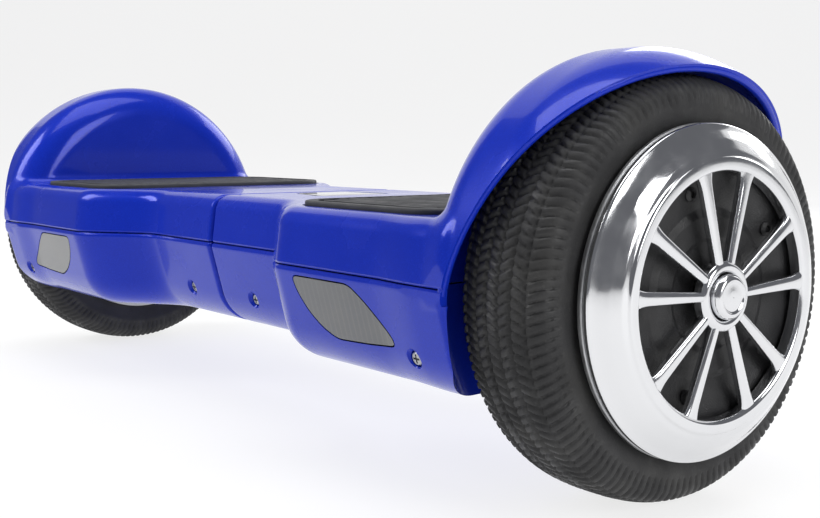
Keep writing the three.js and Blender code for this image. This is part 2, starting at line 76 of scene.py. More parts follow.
BUTTON_R, SOCKET_R, SOCKET_BORE = 7.0, 9.5, 6.0
SCREWS = ((34.0, 60.0), (207.0, 58.0))


# ---------- outline of the body ----------
def smooth(t):
    c = np.clip(t, 0, 1)
    return c * c * (3 - 2 * c)


def smooth_slope(t):
    c = np.clip(t, 0, 1)
    return 6 * c * (1 - c)


def half_width(x):
    wing = smooth((x - NECK_END) / (WING_START - NECK_END))
    flare = smooth((x - FLARE_START) / FLARE_LENGTH)
    return NECK_HALF + (WING_HALF - NECK_HALF) * wing + (FENDER_R - WING_HALF) * flare


def half_width_slope(x):
    run = WING_START - NECK_END
    return (WING_HALF - NECK_HALF) / run * smooth_slope((x - NECK_END) / run)


def slope_y(x, z):
    return half_width(x) - (SIDE_TOP - z) * math.tan(SIDE_LEAN)


# ---------- distance fields, negative inside ----------
def rounded(a, b, radius, cosine=0.0):
    """Where two faces meet at an edge rounded to radius; cosine is that between their normals."""
    a, b = a + radius, b + radius
    edge = np.sqrt(np.maximum(a * a + b * b - 2 * cosine * a * b, 0) / (1 - cosine**2))
    near = (a > cosine * b) & (b > cosine * a)
    return np.where(near, edge, np.maximum(a, b)) - radius


def filleted(a, b, radius):
    """Two solids joined with a fillet in the corner between them."""
    hollow = np.hypot(np.maximum(radius - a, 0), np.maximum(radius - b, 0))
    return np.maximum(np.minimum(a, b), radius) - hollow


DRAFT = math.radians(8)
CREASE_ROUND, END_ROUND = 3.0, 2.2


def body_field(x, y, z, inset=0.0, deck_inset=0.0):
    """The waist and wing without their ends."""
    steep = half_width_slope(x)
    reach = np.abs(y) - half_width(x) + inset * np.hypot(1, steep)
    side = (reach * math.cos(DRAFT) + (z - SPLIT_Z) * math.sin(DRAFT)) / np.hypot(1, steep)
    slope = (reach * math.cos(SIDE_LEAN) + (SIDE_TOP - z) * math.sin(SIDE_LEAN)) / np.hypot(
        1, steep * math.cos(SIDE_LEAN)
    )
    deck = z - DECK_Z + deck_inset
    belly = BELLY_Z + inset - z
    upper = rounded(deck, side, DECK_ROUND - min(inset, DECK_ROUND - 2), math.sin(DRAFT))
    lower = rounded(slope, belly, BELLY_ROUND, math.sin(SIDE_LEAN))
    return rounded(upper, lower, CREASE_ROUND, math.cos(SIDE_LEAN + DRAFT))


def crown_radius(x):
    t = np.maximum(x - CROWN_END, 0) / (FENDER_TIP - CROWN_END)
    return FENDER_R - CROWN_FALL * t * t


def dome_field(x, y, z, inset=0.0):
    """The fender as a full dome with no free edge."""
    t = np.maximum(x - CROWN_END, 0) / (FENDER_TIP - CROWN_END)
    fall = 2 * CROWN_FALL * t / (FENDER_TIP - CROWN_END)
    crown = (np.hypot(y, z - AXLE_Z) - crown_radius(x) + inset) / np.hypot(1, fall)
    return rounded(FENDER_WALL + inset - x, crown, FENDER_ROUND - inset)


EDGE_SWEEP = 1.35


def edge_x(z):
    """X of the fender's free edge at a height."""
    t = np.clip((z - AXLE_Z) / FENDER_R, 0, 1)
    return FENDER_SIDE + (FENDER_TIP - FENDER_SIDE) * t**EDGE_SWEEP


FILLET = 5.0
TUBE_HOLE_R, AXLE_HOLE_R = 23.0, 19.0
PARTING_GROOVE = 0.9


def outer_field(x, y, z):
    dome = np.maximum(np.maximum(dome_field(x, y, z), x - FENDER_TIP - 2), SPLIT_Z - 4 - z)
    body = rounded(body_field(x, y, z), x - FENDER_SIDE, END_ROUND)
    whole = filleted(body, dome, FILLET)
    whole = np.maximum(whole, np.abs(y) - FENDER_R)
    whole = rounded(whole, CENTRE_GAP - x, END_ROUND)
    # A fine V around the parting line, which the cut between the two shells runs along.
    lip = np.abs(z - SPLIT_Z) * 0.8
    return np.maximum(whole, PARTING_GROOVE - lip - np.abs(np.minimum(whole, 0)) * 1.0)


def shell_field(x, y, z):
    """The solid half with its inner hollow, before the wheel well and the holes are cut."""
    cavity = np.maximum(body_field(x, y, z, WALL, DECK_THICK), x - FENDER_WALL)
    cavity = np.maximum(cavity, CENTRE_GAP + WALL - x)
    return np.maximum(outer_field(x, y, z), -cavity)


# ---------- meshes ----------
def stations(*stretches):
    """Grid lines from stretches of (start, end, step)."""
    parts = [np.linspace(a, b, max(2, round((b - a) / step) + 1))[:-1] for a, b, step in stretches]
    return np.append(np.concatenate(parts), stretches[-1][1])


def surface_net(field, axes):
    """Points and quads of the closed surface where field changes sign on a grid of X, Y and Z lines."""
    grid = field(*np.meshgrid(*axes, indexing="ij", sparse=True))
    inside = grid < 0
    cells = tuple(n - 1 for n in grid.shape)
    total, count = np.zeros((int(np.prod(cells)), 3)), np.zeros(int(np.prod(cells)))
    quads = []
    for axis in range(3):
        low, high = [slice(None)] * 3, [slice(None)] * 3
        low[axis], high[axis] = slice(None, -1), slice(1, None)
        low, high = tuple(low), tuple(high)
        crossed = inside[low] != inside[high]
        where = np.argwhere(crossed)
        near, far = grid[low][crossed], grid[high][crossed]
        spot = where.astype(float)
        spot[:, axis] += near / (near - far)
        u, v = (axis + 1) % 3, (axis + 2) % 3
        around = []
        for back_u, back_v in ((0, 0), (1, 0), (1, 1), (0, 1)):
            cell = where.copy()
            cell[:, u] -= back_u
            cell[:, v] -= back_v
            around.append(np.ravel_multi_index(tuple(cell.T), cells))
        for ids in around:
            count += np.bincount(ids, minlength=len(count))
            for k in range(3):
                total[:, k] += np.bincount(ids, weights=spot[:, k], minlength=len(count))
        quad = np.stack(around, 1)
        inward = ~inside[low][crossed]
        quad[inward] = quad[inward][:, ::-1]
        quads.append(quad)
    used = np.flatnonzero(count)
    index = np.zeros(len(count), int)
    index[used] = np.arange(len(used))
    places = total[used] / count[used][:, None]
    points = np.stack([np.interp(places[:, k], np.arange(len(axes[k])), axes[k]) for k in range(3)], 1)
    return settled(field, points), index[np.concatenate(quads)]


def settled(field, points, rounds=3, probe=0.05, stride=0.7):
    """Points moved along the field's slope onto its surface."""
    for _ in range(rounds):
        value = field(*points.T)
        slope = np.stack(
            [(field(*(points + d).T) - field(*(points - d).T)) / (2 * probe) for d in np.eye(3) * probe], 1
        )
        step = value / np.maximum((slope**2).sum(1), 0.3)
        points = points - np.clip(step, -stride, stride)[:, None] * slope
    return points


def mesh_object(name, points, faces, side="right"):
    """A new object from points in mm; the left side is mirrored."""
    points = np.array(points, float) * MM
    faces = [list(f) for f in faces] if not isinstance(faces, np.ndarray) else faces
    if side == "left":
        points[:, 0] *= -1
        faces = faces[:, ::-1] if isinstance(faces, np.ndarray) else [f[::-1] for f in faces]
    mesh = bpy.data.meshes.new(name)
    mesh.from_pydata(points.tolist(), [], faces.tolist() if isinstance(faces, np.ndarray) else faces)
    mesh.update()
    obj = bpy.data.objects.new(name, mesh)
    bpy.context.scene.collection.objects.link(obj)
    return obj


def apply_modifiers(obj):
    bpy.context.view_layer.update()
    evaluated = obj.evaluated_get(bpy.context.evaluated_depsgraph_get())
    mesh = bpy.data.meshes.new_from_object(evaluated)
    old = obj.data
    obj.modifiers.clear()
    obj.data = mesh
    bpy.data.meshes.remove(old)
    return obj


def combine(obj, tools, operation="DIFFERENCE"):
    """obj joined to, cut by or kept inside each tool, which is then removed."""
    for tool in tools:
        modifier = obj.modifiers.new("combine", "BOOLEAN")
        modifier.solver = "MANIFOLD"
        modifier.operation = operation
        modifier.object = tool
        apply_modifiers(obj)
        bpy.data.meshes.remove(tool.data)
    return obj


def copy_of(obj, name):
    twin = bpy.data.objects.new(name, obj.data.copy())
    bpy.context.scene.collection.objects.link(twin)
    return twin


def bevelled(obj, width, segments=2, angle=30):
    """Rounds obj's sharp edges by width, in mm."""
    modifier = obj.modifiers.new("bevel", "BEVEL")
    modifier.width = width * MM
    modifier.segments = segments
    modifier.limit_method = "ANGLE"
    modifier.angle_limit = math.radians(angle)
    return apply_modifiers(obj)


def shade(obj, angle=32):
    """Smooth shading, with edges sharper than angle left crisp."""
    obj.data.polygons.foreach_set("use_smooth", [True] * len(obj.data.polygons))
    obj.data.set_sharp_from_angle(angle=math.radians(angle))
    return obj


def prism(outline, low, high):
    """Points and faces of an outline of (a, b) raised from low to high."""
    n = len(outline)
    points = [(a, b, low) for a, b in outline] + [(a, b, high) for a, b in outline]
    area = sum(outline[i - 1][0] * outline[i][1] - outline[i][0] * outline[i - 1][1] for i in range(n))
    faces = [list(range(n))[::-1], list(range(n, 2 * n))]
    faces += [[i, (i + 1) % n, n + (i + 1) % n, n + i] for i in range(n)]
    return points, faces if area > 0 else [f[::-1] for f in faces]


def box(low, high):
    (x0, y0, z0), (x1, y1, z1) = low, high
    return prism([(x0, y0), (x1, y0), (x1, y1), (x0, y1)], z0, z1)


def front_prism(outline, y0, y1):
    """An outline of (x, z) drawn from y0 to y1."""
    points, faces = prism(outline, -y1, -y0)
    return [(a, -h, b) for a, b, h in points], faces


def softened(points, radius, steps=4, closed=True):
    """A polyline with each corner rounded off."""
    points = [Vector(p) for p in points]
    out = []
    for i, p in enumerate(points):
        if not closed and i in (0, len(points) - 1):
            out.append(p)
            continue
        before, after = points[i - 1] - p, points[(i + 1) % len(points)] - p
        start = p + before.normalized() * min(radius, before.length * 0.45)
        end = p + after.normalized() * min(radius, after.length * 0.45)
        for k in range(steps + 1):
            t = k / steps
            out.append(start * (1 - t) ** 2 + p * (2 * t * (1 - t)) + end * t**2)
    return [tuple(p) for p in out]


def turned(profile, segments=128, closed=True):
    """Points and faces of a profile of (radius, height) turned about Z."""
    angles = np.linspace(0, 2 * math.pi, segments, endpoint=False)
    radii, heights = np.array(profile).T
    points = np.stack(
        [np.outer(np.cos(angles), radii), np.outer(np.sin(angles), radii), np.tile(heights, (segments, 1))], 2
    ).reshape(-1, 3)
    n = len(profile)
    faces = []
    for i in range(segments):
        here, there = i * n, (i + 1) % segments * n
        for k in range(n if closed else n - 1):
            m = (k + 1) % n
            faces.append([here + k, there + k, there + m, here + m])
    if not closed:
        faces.append([i * n for i in range(segments)][::-1])
        faces.append([i * n + n - 1 for i in range(segments)])
    area = sum(
        profile[i - 1][0] * profile[i][1] - profile[i][0] * profile[i - 1][1]
        for i in range(0 if closed else 1, n)
    )
    if not closed:
        area = -1 if profile[-1][1] < profile[0][1] else 1
    return points, [f if area > 0 else f[::-1] for f in faces]


def moved(shape, matrix):
    points, faces = shape
    return [tuple(matrix @ Vector(p)) for p in points], faces


def wheel_frame():
    """Z of a turned shape becomes +X from the tyre's middle plane."""
    return Matrix.Translation((TYRE_X, 0, 0)) @ axle_line()


def slope_frame(side, x, z):
    """Z of a shape becomes the outward normal of the lower shell's sloping side."""
    c, s = math.cos(SIDE_LEAN), math.sin(SIDE_LEAN)
    turn = Matrix(((side, 0, 0), (0, -side * s, side * c), (0, -c, -s))).to_4x4()
    return Matrix.Translation((x, side * slope_y(x, z), z)) @ turn


# ---------- materials ----------
class Surface:
    """Builds one Principled material from small steps."""

    def __init__(self, name, colour, rough, metal=0.0, **sockets):
        self.material = bpy.data.materials.new(name)
        self.material.use_nodes = True
        self.tree = self.material.node_tree
        self.shader = self.tree.nodes["Principled BSDF"]
        self.place = self.node("ShaderNodeTexCoord").outputs["Object"]
        self.colour = None
        self.set("Base Color", (*colour, 1))
        self.set("Roughness", rough)
        self.set("Metallic", metal)
        for key, value in sockets.items():
            self.set(key.replace("_", " "), value)

    def set(self, socket, value):
        self.shader.inputs[socket].default_value = value

    def node(self, kind, **settings):
        node = self.tree.nodes.new(kind)
        for key, value in settings.items():
            setattr(node, key, value)
        return node

    def link(self, source, target):
        self.tree.links.new(source, target)

    def stretched(self, scale):
        node = self.node("ShaderNodeMapping")
        node.inputs["Scale"].default_value = scale
        self.link(self.place, node.inputs["Vector"])
        return node.outputs["Vector"]

    def noise(self, scale, detail=3.0, stretch=None, roughness=0.5):
        node = self.node("ShaderNodeTexNoise")
        node.inputs["Scale"].default_value = scale
        node.inputs["Detail"].default_value = detail
        node.inputs["Roughness"].default_value = roughness
        self.link(self.stretched(stretch) if stretch else self.place, node.inputs["Vector"])
        return node.outputs["Fac"]

    def cells(self, scale, feature="F1", output="Distance"):
        node = self.node("ShaderNodeTexVoronoi", feature=feature)
        node.inputs["Scale"].default_value = scale
        self.link(self.place, node.inputs["Vector"])
        return node.outputs[output]

    def ranged(self, value, low, high, to_low=0.0, to_high=1.0):
        node = self.node("ShaderNodeMapRange")
        for key, number in (("From Min", low), ("From Max", high), ("To Min", to_low), ("To Max", to_high)):
            node.inputs[key].default_value = number
        self.link(value, node.inputs["Value"])
        return node.outputs["Result"]

    def tint(self, share, colour):
        """Mixes colour over the present base colour by share."""
        node = self.node("ShaderNodeMix", data_type="RGBA")
        if self.colour is None:
            node.inputs["A"].default_value = self.shader.inputs["Base Color"].default_value
        else:
            self.link(self.colour, node.inputs["A"])
        node.inputs["B"].default_value = (*colour, 1)
        self.link(share, node.inputs["Factor"])
        self.colour = node.outputs["Result"]
        self.link(self.colour, self.shader.inputs["Base Color"])
        return self

    def vary_rough(self, share, low, high, start=0.35, end=0.65):
        self.link(self.ranged(share, start, end, low, high), self.shader.inputs["Roughness"])
        return self

    def bump(self, height, strength, distance, under=None):
        node = self.node("ShaderNodeBump")
        node.inputs["Strength"].default_value = strength
        node.inputs["Distance"].default_value = distance
        self.link(height, node.inputs["Height"])
        if under is not None:
            self.link(under, node.inputs["Normal"])
        self.link(node.outputs["Normal"], self.shader.inputs["Normal"])
        return node.outputs["Normal"]


def blue_paint():
    s = Surface(
        "blue_paint", (0.006, 0.027, 0.46), 0.3, 0.1, Coat_Weight=0.5, Coat_Roughness=0.04, Coat_IOR=1.32,
        Specular_IOR_Level=0.12,
    )
    flake = s.cells(2600, output="Color")
    split = s.node("ShaderNodeSeparateColor")
    s.link(flake, split.inputs["Color"])
    s.tint(s.ranged(split.outputs["Red"], 0.55, 1, 0, 0.3), (0.012, 0.06, 0.75))
    s.tint(s.ranged(s.noise(9, 4), 0.45, 0.75, 0, 0.25), (0.005, 0.015, 0.28))
    s.vary_rough(s.noise(38, 5), 0.18, 0.3)
    peel = s.bump(s.noise(420, 2), 0.045, 0.0004)
    s.bump(s.ranged(s.noise(60, 8, (1, 0.06, 1), 0.7), 0.6, 0.72), 0.02, 0.0002, peel)
    return s.material


def pad_rubber():
    s = Surface("pad_rubber", (0.042, 0.043, 0.047), 0.62, Specular_IOR_Level=0.45)
    s.tint(s.ranged(s.noise(24, 6), 0.45, 0.75, 0, 0.55), (0.075, 0.076, 0.08))
    s.tint(s.ranged(s.noise(900, 2), 0.55, 0.8, 0, 0.4), (0.02, 0.02, 0.022))
    s.vary_rough(s.noise(60, 4), 0.5, 0.78)
    s.bump(s.noise(1500, 3), 0.35, 0.0003)
    return s.material


def tyre_rubber():
    s = Surface("tyre_rubber", (0.024, 0.024, 0.025), 0.6, Specular_IOR_Level=0.4)
    s.tint(s.ranged(s.noise(45, 7), 0.48, 0.78, 0, 0.6), (0.05, 0.049, 0.046))
    s.tint(s.ranged(s.noise(700, 3), 0.6, 0.8, 0, 0.35), (0.075, 0.074, 0.07))
    s.vary_rough(s.noise(80, 5), 0.45, 0.8)
    s.bump(s.noise(1300, 4), 0.4, 0.0003)
    return s.material


def chrome():
    s = Surface("chrome", (0.78, 0.785, 0.8), 0.12, 1.0)
    s.tint(s.ranged(s.noise(30, 5), 0.5, 0.8, 0, 0.3), (0.68, 0.69, 0.71))
    s.vary_rough(s.noise(90, 6), 0.07, 0.18)
    s.bump(s.noise(260, 2), 0.02, 0.0003)
    return s.material


def silver_paint():
    s = Surface("silver_spokes", (0.9, 0.9, 0.91), 0.24, 0.25, Coat_Weight=0.6, Coat_Roughness=0.06)
    s.tint(s.ranged(s.noise(2200, 1), 0.5, 0.75, 0, 0.3), (0.8, 0.8, 0.815))
    s.vary_rough(s.noise(120, 4), 0.14, 0.3)
    s.bump(s.noise(1400, 2), 0.05, 0.0002)
    return s.material


def smoked_lens():
    s = Surface(
        "smoked_lens", (0.07, 0.076, 0.085), 0.2, Coat_Weight=0.6, Coat_Roughness=0.05,
        Transmission_Weight=0.1, IOR=1.49,
    )
    s.tint(s.ranged(s.noise(55, 4), 0.42, 0.7, 0, 0.6), (0.1, 0.102, 0.098))
    wave = s.node("ShaderNodeTexWave", bands_direction="X")
    wave.inputs["Scale"].default_value = 85
    s.link(s.place, wave.inputs["Vector"])
    s.tint(s.ranged(wave.outputs["Fac"], 0.7, 1, 0, 0.28), (0.15, 0.15, 0.155))
    s.vary_rough(s.noise(70, 4), 0.1, 0.24)
    s.bump(s.noise(300, 2), 0.05, 0.0003)
    return s.material


def gloss_black():
    s = Surface("gloss_black", (0.008, 0.008, 0.01), 0.12, Coat_Weight=1.0, Coat_Roughness=0.03)
    s.tint(s.ranged(s.noise(180, 4), 0.55, 0.8, 0, 0.4), (0.02, 0.02, 0.024))
    s.vary_rough(s.noise(60, 6), 0.06, 0.22)
    s.bump(s.noise(700, 2), 0.03, 0.0002)
    return s.material


def moulded_black():
    s = Surface("moulded_black", (0.014, 0.014, 0.015), 0.45)
    s.tint(s.ranged(s.noise(40, 6), 0.45, 0.8, 0, 0.6), (0.03, 0.03, 0.032))
    s.vary_rough(s.noise(90, 4), 0.34, 0.6)
    s.bump(s.cells(1500), 0.25, 0.0003)
    return s.material


def cast_alloy():
    s = Surface("cast_alloy", (0.5, 0.505, 0.515), 0.4, 0.95)
    s.tint(s.ranged(s.noise(35, 6), 0.4, 0.75, 0, 0.5), (0.34, 0.345, 0.355))
    s.vary_rough(s.noise(120, 5), 0.28, 0.55)
    s.bump(s.noise(900, 4), 0.3, 0.0003)
    return s.material


def turned_steel():
    s = Surface("turned_steel", (0.44, 0.445, 0.455), 0.3, 1.0)
    s.tint(s.ranged(s.noise(50, 6), 0.45, 0.8, 0, 0.5), (0.25, 0.25, 0.26))
    s.vary_rough(s.noise(400, 3, (12, 1, 1)), 0.18, 0.42)
    s.bump(s.noise(900, 2, (14, 1, 1)), 0.15, 0.0002)
    return s.material


def copper_winding():
    s = Surface("copper_winding", (0.5, 0.21, 0.09), 0.35, 0.85)
    wave = s.node("ShaderNodeTexWave", bands_direction="X")
    wave.inputs["Scale"].default_value = 420
    s.link(s.place, wave.inputs["Vector"])
    s.tint(s.ranged(wave.outputs["Fac"], 0.2, 0.8, 0, 0.6), (0.24, 0.08, 0.03))
    s.vary_rough(s.noise(200, 4), 0.25, 0.5)
    s.bump(wave.outputs["Fac"], 0.5, 0.0004)
    return s.material


def circuit_board():
    s = Surface("circuit_board", (0.012, 0.09, 0.035), 0.4, Coat_Weight=0.4, Coat_Roughness=0.15)
    s.tint(s.ranged(s.cells(320, "DISTANCE_TO_EDGE"), 0, 0.04, 0.8, 0), (0.03, 0.2, 0.08))
    s.tint(s.ranged(s.cells(240), 0, 0.1, 0.9, 0), (0.6, 0.58, 0.5))
    s.vary_rough(s.noise(100, 4), 0.3, 0.55)
    s.bump(s.cells(320), 0.3, 0.0004)
    return s.material


def shrink_wrap():
    s = Surface("shrink_wrap", (0.03, 0.09, 0.36), 0.3, Coat_Weight=0.5, Coat_Roughness=0.1)
    s.tint(s.ranged(s.noise(26, 5), 0.45, 0.75, 0, 0.5), (0.015, 0.05, 0.22))
    s.vary_rough(s.noise(70, 5), 0.2, 0.42)
    s.bump(s.noise(130, 5, (1, 3, 1)), 0.4, 0.001)
    return s.material


def natural_nylon():
    s = Surface("natural_nylon", (0.62, 0.6, 0.53), 0.5, Subsurface_Weight=0.15)
    s.tint(s.ranged(s.noise(60, 5), 0.45, 0.75, 0, 0.5), (0.5, 0.47, 0.39))
    s.vary_rough(s.noise(140, 4), 0.4, 0.62)
    s.bump(s.noise(800, 3), 0.15, 0.0003)
    return s.material


MATERIALS = {
    "blue_shell": blue_paint(),
    "pad_rubber": pad_rubber(),
    "lens": smoked_lens(),
    "window": gloss_black(),
    "black_plastic": moulded_black(),
    "tyre": tyre_rubber(),
    "chrome": chrome(),
    "alloy": cast_alloy(),
    "steel": turned_steel(),
    "winding": copper_winding(),
    "circuit": circuit_board(),
    "battery": shrink_wrap(),
    "nylon": natural_nylon(),
}
SPOKES = silver_paint()


def finished(obj, body, slot, replaced=(), angle=32):
    """Shades obj, gives it its material and puts it on its body."""
    shade(obj, angle)
    if not any(obj.data.materials):
        obj.data.materials.clear()
        obj.data.materials.append(MATERIALS[slot])
    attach(obj, body)
    if replaced:
        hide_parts(*replaced)
    return obj


# ---------- shells ----------
def raw_shell():
    """The right half's shell before it is parted and cut, as points and quads."""
    xs = stations(
        (-2, 6, 0.6), (6, 62, 2.0), (62, 120, 1.4), (120, 206, 2.0), (206, 222, 0.8), (222, 280, 1.3)
    )
    ys = stations((-97, -40, 1.4), (-40, 40, 1.9), (40, 97, 1.4))
    zs = stations(
        (36, 62, 1.3), (62, 84, 1.6), (84, 86, 0.5), (86, 90, 0.34), (90, 92, 0.5), (92, 116, 1.2),
        (116, 181, 1.5),
    )
    return surface_net(shell_field, (xs, ys, zs))


def pad_edge(x, margin=0.0):
    return half_width(x) - PAD_INSET + margin


def pad_outline(margin=0.0, corner_steps=8):
    """Plan of the footpad, grown by margin."""
    x0, x1 = PAD_FROM - margin, PAD_TO + margin
    side = []
    for a in np.linspace(0, math.pi / 2, corner_steps):
        x = x0 + PAD_CORNER * (1 - math.cos(a))
        side.append((x, pad_edge(x0 + PAD_CORNER, margin) - PAD_CORNER * (1 - math.sin(a))))
    for x in np.linspace(x0 + PAD_CORNER, x1 - PAD_CORNER, 36)[1:-1]:
        side.append((float(x), float(pad_edge(x, margin))))
    for a in np.linspace(0, math.pi / 2, corner_steps):
        x = x1 - PAD_CORNER * (1 - math.sin(a))
        side.append((x, pad_edge(x1 - PAD_CORNER, margin) - PAD_CORNER * (1 - math.cos(a))))
    side = [(float(x), float(y)) for x, y in side]
    return [(x, -y) for x, y in side] + side[::-1]


WINDOW = ((9.0, -15.0), (44.0, -21.0), (44.0, 21.0), (9.0, 15.0))


def window_outline(margin=0.0):
    return [(x + (margin if x > 20 else -margin), y + math.copysign(margin, y)) for x, y in WINDOW]


LENS = (
    (127, 84), (170, 84), (179, 78), (187, 71), (194, 65), (195, 61.5), (176, 60), (153, 59), (143, 63),
    (135, 69), (129, 77),
)


def lens_outline(margin=0.0):
    """The headlight's (x, z) outline with every corner rounded, grown by margin."""
    outline = [Vector(p) for p in softened(LENS, 4.0, 5)]
    grown = []
    for i, p in enumerate(outline):
        along = (outline[(i + 1) % len(outline)] - outline[i - 1]).normalized()
        grown.append(tuple(p + Vector((along.y, -along.x)) * -margin))
    return grown


LIP_ROLL = 1.7
FAR = 400.0


def fender_lip(name, side):
    """A rolled bead along the fender's free edge."""
    turns = np.linspace(0.02, math.pi - 0.02, 161)
    path = []
    for a in turns:
        z = AXLE_Z + FENDER_R * math.sin(a)
        for _ in range(6):
            x = edge_x(z)
            r = crown_radius(x) - LIP_ROLL * 1.05
            z = AXLE_Z + r * math.sin(a)
        path.append(Vector((float(x) - LIP_ROLL * 0.8, float(r) * math.cos(a), float(z))))
    points, faces, around = [], [], 12
    for i, p in enumerate(path):
        ahead = (path[min(i + 1, len(path) - 1)] - path[max(i - 1, 0)]).normalized()
        out = Vector((0, p.y, p.z - AXLE_Z)).normalized()
        across = ahead.cross(out).normalized()
        for k in range(around):
            a = 2 * math.pi * k / around
            points.append(p + (out * math.cos(a) + across * math.sin(a)) * LIP_ROLL)
    for i in range(len(path) - 1):
        for k in range(around):
            m = (k + 1) % around
            faces.append([i * around + k, i * around + m, (i + 1) * around + m, (i + 1) * around + k])
    faces.append(list(range(around))[::-1])
    faces.append([(len(path) - 1) * around + k for k in range(around)])
    return mesh_object(name, points, faces, side)



def tool(name, shape, side):
    return mesh_object(f"tool_{name}", *shape, side)


def beyond_edge():
    """Everything outboard of the fender's free edge, above the end of the wing."""
    edge = [(float(edge_x(z)), float(z)) for z in np.linspace(AXLE_Z + 0.5, AXLE_Z + FENDER_R, 90)]
    start, far = FENDER_SIDE + 0.2, FENDER_TIP + 40
    outline = [(far, AXLE_Z - 2), (far, FAR), (FENDER_TIP + 0.1, FAR)] + edge[::-1] + [(start, AXLE_Z - 2)]
    return front_prism(outline, -FAR, FAR)


def plunger_holes(side):
    return [
        tool(
            "plunger",
            box((PLUNGER_X - 12, s * PLUNGER_Y - 6, 80), (PLUNGER_X + 12, s * PLUNGER_Y + 6, 118)),
            side,
        )
        for s in (-1, 1)
    ]


def cylinder(radius, low, high, segments=64):
    return turned([(radius, low), (radius, high)], segments, closed=False)


def well_profile():
    """Turned (radius, X) profile of the wheel well, open outboard."""
    turn = np.linspace(0, math.pi / 2, 14)
    inner, centre = FENDER_ROUND - WALL, FENDER_R - FENDER_ROUND
    start = FENDER_WALL + WALL
    profile = [(0.05, start)]
    profile += [(centre + inner * math.sin(a), start + inner * (1 - math.cos(a))) for a in turn]
    for x in np.linspace(CROWN_END, FENDER_TIP, 10):
        profile.append((float(crown_radius(x)) - WALL, float(x)))
    return profile + [(profile[-1][0], FENDER_TIP + 20)]


def axle_line():
    """Z of a turned shape becomes +X along the wheel axles, from the middle of the board."""
    turn = Matrix(((0, 0, 1), (0, 1, 0), (-1, 0, 0))).to_4x4()
    return Matrix.Translation((0, 0, AXLE_Z)) @ turn


def make_shells(side, raw):
    whole = mesh_object(f"{side}_whole", *raw, side)
    combine(whole, [
        tool("edge", beyond_edge(), side),
        tool("well", moved(turned(well_profile(), 256, closed=False), axle_line()), side),
        tool("axle", moved(cylinder(AXLE_HOLE_R, 205, 225), axle_line()), side),
        tool("tube", moved(cylinder(TUBE_HOLE_R, -2, 8), axle_line()), side),
    ])
    lower = combine(copy_of(whole, f"look_{side}_lower_shell"), [
        tool("below", box((-FAR, -FAR, -FAR), (FAR, FAR, SPLIT_Z - PARTING / 2)), "right")
    ], "INTERSECT")
    upper = combine(whole, [
        tool("above", box((-FAR, -FAR, SPLIT_Z + PARTING / 2), (FAR, FAR, FAR)), "right")
    ], "INTERSECT")
    upper.name = f"look_{side}_upper_shell"

    combine(upper, [fender_lip("tool_lip", side)], "UNION")
    combine(upper, [tool("recess", prism(pad_outline(0.8), RECESS_Z, DECK_Z + 30), side)])
    combine(upper, plunger_holes(side))
    if side == "right":
        combine(upper, [
            tool("window", prism(softened(window_outline(0.4), 3), DECK_Z - 3, DECK_Z + 10), side),
            tool("window_hole", prism(window_outline(-3), 95, DECK_Z), side),
        ])

    lens = combine(copy_of(lower, f"look_{side}_headlight"), [
        tool("lens", front_prism(lens_outline(-0.2), -120, -40), side)
    ], "INTERSECT")
    combine(lower, [tool("lens_hole", front_prism(lens_outline(0.45), -120, -40), side)])
    for x, z in SCREWS:
        hole = moved(cylinder(3.4, -20, 10, 40), slope_frame(-1, x, z))
        mouth = moved(turned([(3.4, -1.6), (5.0, 0.05), (5.0, 8)], 40, closed=False), slope_frame(-1, x, z))
        combine(lower, [tool("screw_hole", hole, side), tool("screw_mouth", mouth, side)])
    if side == "right":
        for x, r in ((BUTTON_X, BUTTON_R), (SOCKET_X, SOCKET_R)):
            at = slope_frame(1, x, CONTROL_Z)
            boss = moved(cylinder(r + 4, -11, -0.5), at)
            bore = moved(cylinder(r + 0.35, -40, 20), at)
            mouth = moved(turned([(r + 0.35, -0.9), (r + 1.6, 0.3), (r + 1.6, 8)], 64, closed=False), at)
            combine(lower, [tool("boss", boss, side)], "UNION")
            combine(lower, [tool("bore", bore, side), tool("mouth", mouth, side)])

    finished(upper, f"{side}_half", "blue_shell", [f"{side}_upper_shell"])
    finished(lower, f"{side}_half", "blue_shell", [f"{side}_lower_shell"])
    finished(lens, f"{side}_half", "lens", [f"{side}_headlight_lens"])


# ---------- footpads ----------
RIB_PITCH, RIB_HALF, RIB_HIGH, RIB_BORDER = 6.0, 1.7, 0.9, 6.5


def make_pad(side):
    """A rubber mat with a raised border and long rounded ribs."""
    top = PAD_TOP - RIB_HIGH
    pad = mesh_object(f"look_{side}_foot_pad", *prism(pad_outline(), PAD_TOP - PAD_THICK, PAD_TOP), side)
    pad = bevelled(pad, 1.0, 3, 50)
    well = prism(pad_outline(-RIB_BORDER + 2.4), top, PAD_TOP + 5)
    combine(pad, [tool("pad_well", well, side)])
    xs = np.linspace(PAD_FROM + RIB_BORDER, PAD_TO - RIB_BORDER, 400)
    rows = int((WING_HALF - PAD_INSET) / RIB_PITCH)
    for row in range(-rows, rows + 1):
        y = row * RIB_PITCH
        room = xs[pad_edge(xs) - RIB_BORDER > abs(y) + RIB_HALF]
        if len(room) == 0:
            continue
        clear = PAD_CORNER * 0.3 if abs(y) > 55 else 0
        start, end = float(room[0]) + clear, float(room[-1]) - clear
        if end - start < 15:
            continue
        outline = softened(
            [(start, y - RIB_HALF), (end, y - RIB_HALF), (end, y + RIB_HALF), (start, y + RIB_HALF)], 1.6, 4
        )
        rib = tool("rib", prism(outline, top - 0.5, PAD_TOP), side)
        rib = bevelled(rib, 0.45, 2, 50)
        combine(pad, [rib], "UNION")
    finished(pad, f"{side}_footpad", "pad_rubber", [f"{side}_foot_pad"])


